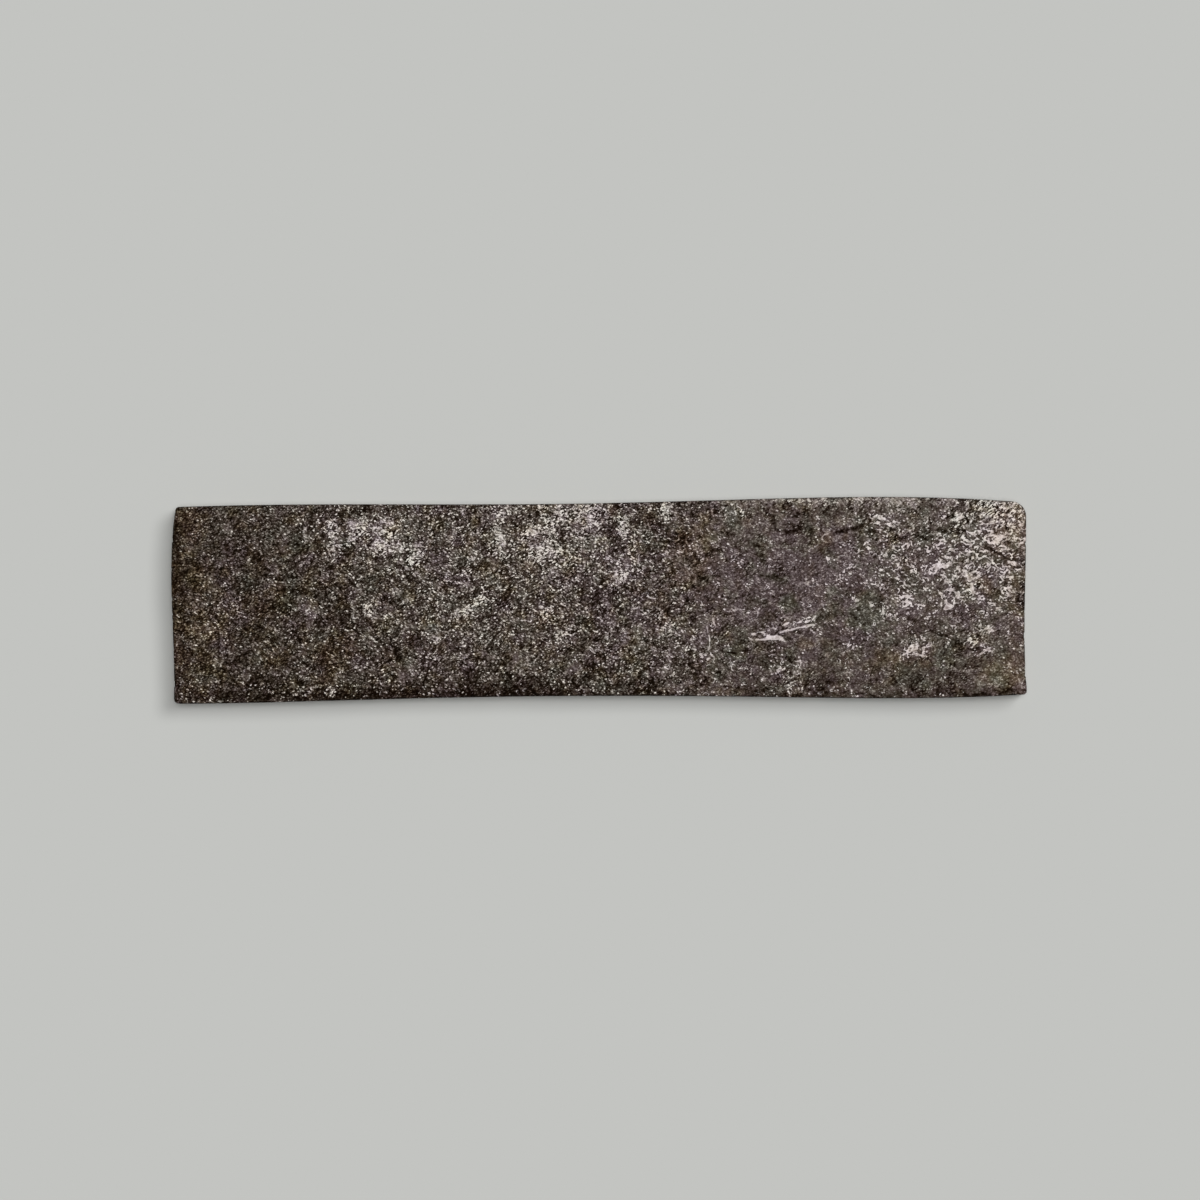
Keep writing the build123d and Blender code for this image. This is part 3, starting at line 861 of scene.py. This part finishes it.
# Glaze: its grains and noise, with sizes in mm and streaks as (degrees, along, across), and mixes of them.
# Of a pair of values, the first is for the sandy skin and the second for the leathery one.
glaze = {
    "grain": {"size": 0.38, "seed": 1.0, "streaks": [(-28, 1.65, 0.86), (24, 1.6, 0.88)]},
    "grit": {"size": 0.75, "seed": 3.0},
    "fullWash": 0.25,  # more slip than this lets in no more pale grains
    "thickest": 0.88,  # share of pale grains
    "borderFray": (0.30, 0.16),
    "oliveDrift": (0.30, 0.14),
    "grainBump": (-0.12, -0.04),  # mm
    "gritBump": (-0.06, -0.04),
    "slipCover": 0.94,
    "laceShadowStrength": 0.6,  # how dark the painted shadow round the raised lace is
    "noise": {
        "crumb": {"size": 1.3, "seed": 3.0},
        "clump": {"size": 3.4, "seed": 4.0, "detail": 2, "rough": 0.55},
        "cloud": {"size": 12.0, "seed": 5.0, "detail": 2, "rough": 0.55},
        "thread": {
            "size": 2.0, "seed": 6.0, "detail": 2, "warp": 0.4, "streak": (-14, 1.3, 1.0), "ridged": True,
        },
        "patch": {"size": 2.0, "seed": 7.0, "detail": 2, "rough": 0.6},
        "curl": {"size": 1.15, "seed": 8.0, "warp": 0.3, "ridged": True},
        "hide": {"size": 1.1, "seed": 9.0, "detail": 2, "rough": 0.6, "streak": (-8, 1.45, 0.95)},
        "stain": {"size": 4.6, "seed": 12.0, "detail": 2, "rough": 0.6},
        "moss": {"size": 5.6, "seed": 13.0, "detail": 2, "rough": 0.6},
        "crease": {
            "size": 1.6, "seed": 15.0, "detail": 2, "warp": 0.6, "streak": (18, 1.6, 1.0), "ridged": True,
        },
        "crack": {
            "size": 6.5, "seed": 18.0, "detail": 2, "warp": 0.4, "streak": (40, 1.7, 1.0), "ridged": True,
        },
    },
    "sandy": {
        "way": {"clump": 1, "step": (-0.06, 0.06)},  # which of the two streaks the grains follow
        "between": {"far": 1, "level": -0.5},  # up towards the gaps between grains
        "curled": {"curl": 1, "level": -0.8},
        "firm": {"pale": 1, "crumb": 0.05, "grit": 0.10, "step": (0.24, 0.38)},
        "clot": {"grit": 1.15, "crumb": 0.25, "level": 0.30},
        "thick": {"clotted": 1, "firm": 0.20, "curled": -0.12, "clump": 0.05, "grit": 0.05, "level": 0.03},
        "fleck": {"chance": 1, "thick": 1, "step": (0.97, 1.03)},
        "fleckTone": {"shadeOfGrain": 2.7, "between": -2.9, "washed": 1.4, "level": 0.93},
        "darkTone": {
            "shadeOfGrain": 2.9, "between": -2.9, "grit": 0.4, "curled": -0.25, "clump": 0.10, "level": -1.98,
        },
        # thin dark lines, painted shade in the creases between lumps
        "cracked": {"crack": 1, "crumb": 0.04, "step": (0.06, 0.30, -1.3, 0.10)},
        "unfilled": {"pale": 1, "step": (0.07, 0.0)},  # by slip
        "crackedPart": {"cloud": 1, "step": (-1.0, 0.4)},
    },
    "leathery": {
        "creased": {"crease": 1, "step": (0.05, 0.25, -0.55, 0.0)},
        "leatherTone": {
            "shadeOfGrain": 1.5, "between": -1.6, "hide": 0.17, "clump": 0.04, "creased": 1, "level": -0.41,
        },
        "smooth": {"leather": 1, "cloud": 0.10, "crumb": 0.12, "frayed": 1, "step": (0.15, 0.85)},
        # painted shade of the relief: darker in its hollows and lighter on its crests, partly glaze lying in
        # the hollows
        "relieved": {"hollow": 1, "step": (0.0, 1.0, 0.13, -0.32)},
        # painted shadow along each fold, under its lip
        "folded": {"foldGap": 1, "crumb": 0.15, "step": (0.45, -0.15, 0.0, -1.4)},
        "tone": {"skinTone": 1, "cloud": 0.05, "shade": 1, "relieved": 1, "folded": 1},
    },
    "slip": {
        "lacing": {"thread": 1, "pale": -0.6, "folded": -0.5},
        "laid": {"patch": 1, "clump": 0.25, "pale": 4.5, "folded": 1.2, "level": -1.3, "step": (-0.1, 0.25)},
        "lace": {"lacing": 1, "step": (0.38, 0.21)},
        # a ring round the lace, where its painted shadow lies
        "rimOut": {"lacing": 1, "step": (0.3, 0.5)},
        "rimIn": {"lacing": 1, "step": (1.0, 0.6)},
        "dot": {"chance": 1, "pale": 0.12, "clump": 0.02, "step": (0.986, 0.997)},
        "beaded": {"gritChance": 1, "pale": 0.40, "clump": 0.03, "step": (0.985, 0.995)},
        "beadEdge": {"gritFar": 1, "crumb": 0.05, "step": (0.44, 0.28)},
        "smear": {"slipGap": 1, "crumb": 0.10, "shadeOfGrain": 0.10, "level": -0.05, "step": (0.10, -0.10)},
        "slipTone": {"shadeOfGrain": 2.4, "crumb": 0.6, "smear": 0.4, "bead": 1.2, "level": -1.2},
    },
    "hues": {
        "olive": {"olive": 1, "oliveDrift": 1},
        "purple": {"purple": 1, "moss": -0.40, "smooth": 0.22},
        "green": {"green": 1, "moss": 0.32},
        "slipBright": {"slip": 2.0},
        "fading": {"bright": 1, "step": (0.2, 1.8, 1.0, 0.35)},
        # the arris painted dark, partly painted shade
        "arris": {"edgeGap": 1, "crumb": 0.15, "clump": 0.2, "step": (0.5, -0.1, 0.0, 0.55)},
        "bare": {"edgeGap": 1, "clump": 0.6, "cloud": 0.7, "step": (-3.0, -6.5)},
        "bump": {"slip": 0.08, "grainBump": 1, "gritBump": 1, "crumb": 0.03},  # mm
    },
}


def glazeLook():
    material, tree, surface, where = newMaterial("weatheredGlaze", looks["glazeRoughness"])
    mixes = {**glaze["sandy"], **glaze["leathery"], **glaze["slip"], **glaze["hues"]}
    layers = {}
    for name in (*painting["spotted"], "slipGap", "foldGap", "edgeGap", "hollow"):
        node = put(tree, "ShaderNodeAttribute", attribute_name=name, attribute_type="GEOMETRY")
        layers[name] = node.outputs["Fac"]
    for name, recipe in glaze["noise"].items():
        layers[name] = noise(tree, where, **recipe)

    def mix(name):
        return mixed(tree, layers, mixes[name])

    def lay(*names):
        for name in names:
            layers[name] = mix(name)

    def bySkin(name, layer):
        # a layer times its share, on the sandy or the leathery skin
        return times(tree, layers[layer], blend(tree, layers["leather"], *glaze[name]))

    # sandy skin: dark grains, with pale ones let in more thickly where slip was left, and elsewhere thin dark
    # lines of painted shade in the creases between lumps
    grains = []
    for k, streak in enumerate(glaze["grain"]["streaks"]):
        drawn = stretched(tree, where, *streak)
        grains.append(cells(tree, drawn, glaze["grain"]["size"], glaze["grain"]["seed"] + k))
    way = mix("way")
    mingled = (blend(tree, way, a, b) for a, b in zip(*grains))
    layers["chance"], layers["shadeOfGrain"], layers["far"] = mingled
    layers["grit"], layers["gritChance"], layers["gritFar"] = cells(tree, where, **glaze["grit"])
    layers["washed"] = calc(tree, "MINIMUM", layers["pale"], glaze["fullWash"])
    lay("between", "curled", "firm")
    layers["clotted"] = times(tree, layers["washed"], mix("clot"))
    layers["thick"] = calc(tree, "MINIMUM", mix("thick"), glaze["thickest"])
    sandTone = blend(tree, mix("fleck"), mix("darkTone"), mix("fleckTone"))
    sandTone = plus(tree, sandTone, times(tree, mix("cracked"), mix("unfilled"), mix("crackedPart")))

    # leathery skin: smooth, with a faint grain and fine creases
    layers["frayed"] = bySkin("borderFray", "clump")
    lay("creased", "smooth")
    layers["skinTone"] = blend(tree, layers["smooth"], sandTone, mix("leatherTone"))
    # the tone is painted darker in the relief's hollows and lighter on its crests (partly painted shade), and
    # painted shadow lies in the folds
    lay("relieved", "folded", "tone")
    colour = toneRamp(tree, layers["tone"], looks["skin"])

    # slip on the leathery skin: a broken lace, fuller where slip was left, pale grains and smears
    lay("lacing", "laid", "smear")
    layers["bead"] = times(tree, mix("beaded"), mix("beadEdge"))
    scattered = most(tree, times(tree, mix("lace"), layers["laid"]), mix("dot"), layers["bead"])
    layers["slip"] = most(tree, times(tree, scattered, layers["smooth"]), layers["smear"])
    # painted shadow in a ring round the raised lace
    rim = times(tree, mix("rimOut"), mix("rimIn"), layers["laid"], layers["smooth"], glaze["laceShadowStrength"])
    colour = tinted(tree, rim, colour, linear(*looks["laceShadow"]))
    slipColour = toneRamp(tree, mix("slipTone"), looks["slip"])
    colour = tinted(tree, times(tree, layers["slip"], glaze["slipCover"]), colour, slipColour)

    # hues, the arris painted dark (partly painted shade where the rounded edge turns from the light), and the
    # raw body low on the sides
    layers["oliveDrift"] = times(tree, layers["stain"], blend(tree, layers["smooth"], *glaze["oliveDrift"]))
    layers["bright"] = most(tree, layers["tone"], mix("slipBright"))
    fading = mix("fading")
    for hue in ("olive", "purple", "green"):
        share = put(tree, "ShaderNodeClamp", {"Value": mix(hue)}).outputs[0]
        colour = tinted(tree, times(tree, share, fading), colour, (*looks[hue], 1.0), "MULTIPLY")
    colour = tinted(tree, mix("arris"), colour, linear(*looks["arris"]))
    body = tinted(tree, layers["shadeOfGrain"], linear(*looks["bodyDark"]), linear(*looks["body"]))
    colour = tinted(tree, mix("bare"), colour, body)
    layers["grainBump"] = bySkin("grainBump", "far")
    layers["gritBump"] = bySkin("gritBump", "gritFar")
    finishSurface(tree, surface, colour, mix("bump"))
    return material


# Raw fired body of the back, with kiln dust on its ribs and painted shade down in its cells
biscuit = {
    "noise": {
        "fine": {"size": 0.5, "seed": 1.0, "detail": 2, "rough": 0.6},
        "cloud": {"size": 14.0, "seed": 2.0, "detail": 2, "rough": 0.55},
    },
    "sunk": {"height": 1, "step": (0.08, 0.5)},  # down in the cells
    "ribs": {"sunk": -1, "level": 1.0},
    # darker down in the cells: painted shade
    "light": {"fine": 0.6, "cloud": 0.4, "sunk": -1.5, "step": (-1.6, 1.6)},
    "dusted": {"fine": 0.5, "cloud": 0.5, "step": (-0.4, 1.2, 0.0, 0.5)},
    "bump": {"fine": 0.02},  # mm
}


def biscuitLook():
    material, tree, surface, where = newMaterial("firedBody", looks["bodyRoughness"])
    layers = {name: noise(tree, where, **recipe) for name, recipe in biscuit["noise"].items()}
    layers["height"] = put(tree, "ShaderNodeSeparateXYZ", {0: where}).outputs[2]

    def mix(name):
        return mixed(tree, layers, biscuit[name])

    layers["sunk"] = mix("sunk")
    colour = tinted(tree, mix("light"), linear(*looks["bodyDark"]), linear(*looks["body"]))
    colour = tinted(tree, times(tree, mix("dusted"), mix("ribs")), colour, linear(*looks["dust"]))
    finishSurface(tree, surface, colour, mix("bump"))
    return material


def dressTile():
    faceLook, backLook = glazeLook(), biscuitLook()
    piece = bpy.data.objects.new("pressedTile", tileMesh)
    bpy.context.scene.collection.objects.link(piece)
    modifier = piece.modifiers.new("relief", "NODES")
    modifier.node_group = reliefTree(faceLook, backLook)
    for item in modifier.node_group.interface.items_tree:
        if item.in_out == "INPUT" and item.name in relief:
            modifier[item.identifier] = relief[item.name]
    graph = bpy.context.evaluated_depsgraph_get()
    result = bpy.data.meshes.new_from_object(
        piece.evaluated_get(graph), preserve_all_data_layers=True, depsgraph=graph
    )
    piece.modifiers.clear()
    piece.data = result
    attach(piece, "root")
    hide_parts("tile")
    print("tile dressed,", [m.name for m in result.materials], len(result.vertices), "points")


dressTile()


# Floor, light and world
studio = {
    "floor": (195, 196, 193),
    "floorSize": 8.0,  # metres across
    "floorDrop": 0.05 * mm,
    "floorRoughness": 0.95,
    "ambient": 0.10,  # share of the light that comes from all round
    "lamps": [  # name, share of the light, degrees above the floor, heading from +X to +Y, degrees across
        ("key", 0.36, 57, 35, 28),
        ("overhead", 0.54, 87, 42, 24),
    ],
}


def setStudio():
    scene = bpy.context.scene
    scene.view_settings.view_transform = "Standard"
    world = bpy.data.worlds.new("studio")
    world.use_nodes = True
    tree = world.node_tree
    tree.nodes.clear()
    path = tree.nodes.new("ShaderNodeLightPath").outputs
    seen = most(tree, path["Is Camera Ray"], path["Is Glossy Ray"], path["Is Transmission Ray"])
    glow = put(tree, "ShaderNodeBackground", {"Color": (1, 1, 1, 1), "Strength": studio["ambient"]})
    wall = put(tree, "ShaderNodeBackground", {"Color": linear(*studio["floor"]), "Strength": 1.0})
    either = put(tree, "ShaderNodeMixShader", {0: seen, 1: glow.outputs[0], 2: wall.outputs[0]})
    put(tree, "ShaderNodeOutputWorld", {"Surface": either.outputs[0]})
    scene.world = world

    for name, share, height, heading, softness in studio["lamps"]:
        lamp = bpy.data.lights.new(name, "SUN")
        rise, turn = math.radians(height), math.radians(heading)
        lamp.energy = share * math.pi / math.sin(rise)
        lamp.angle = math.radians(softness)
        light = bpy.data.objects.new(name, lamp)
        toLight = Vector((math.cos(turn) * math.cos(rise), math.sin(turn) * math.cos(rise), math.sin(rise)))
        light.rotation_euler = toLight.to_track_quat("Z", "Y").to_euler()
        scene.collection.objects.link(light)

    half = studio["floorSize"] / 2
    corners = [(-half, -half, 0), (half, -half, 0), (half, half, 0), (-half, half, 0)]
    sheet = bpy.data.meshes.new("floor")
    sheet.from_pydata(corners, [], [(0, 1, 2, 3)])
    floor = bpy.data.objects.new("floor", sheet)
    floor.location.z = -studio["floorDrop"]
    paint = bpy.data.materials.new("floorPaint")
    paint.use_nodes = True
    coat = paint.node_tree.nodes["Principled BSDF"]
    coat.inputs["Base Color"].default_value = linear(*studio["floor"])
    coat.inputs["Roughness"].default_value = studio["floorRoughness"]
    coat.inputs["Specular IOR Level"].default_value = 0.0
    sheet.materials.append(paint)
    scene.collection.objects.link(floor)


setStudio()
print("floor and light set")
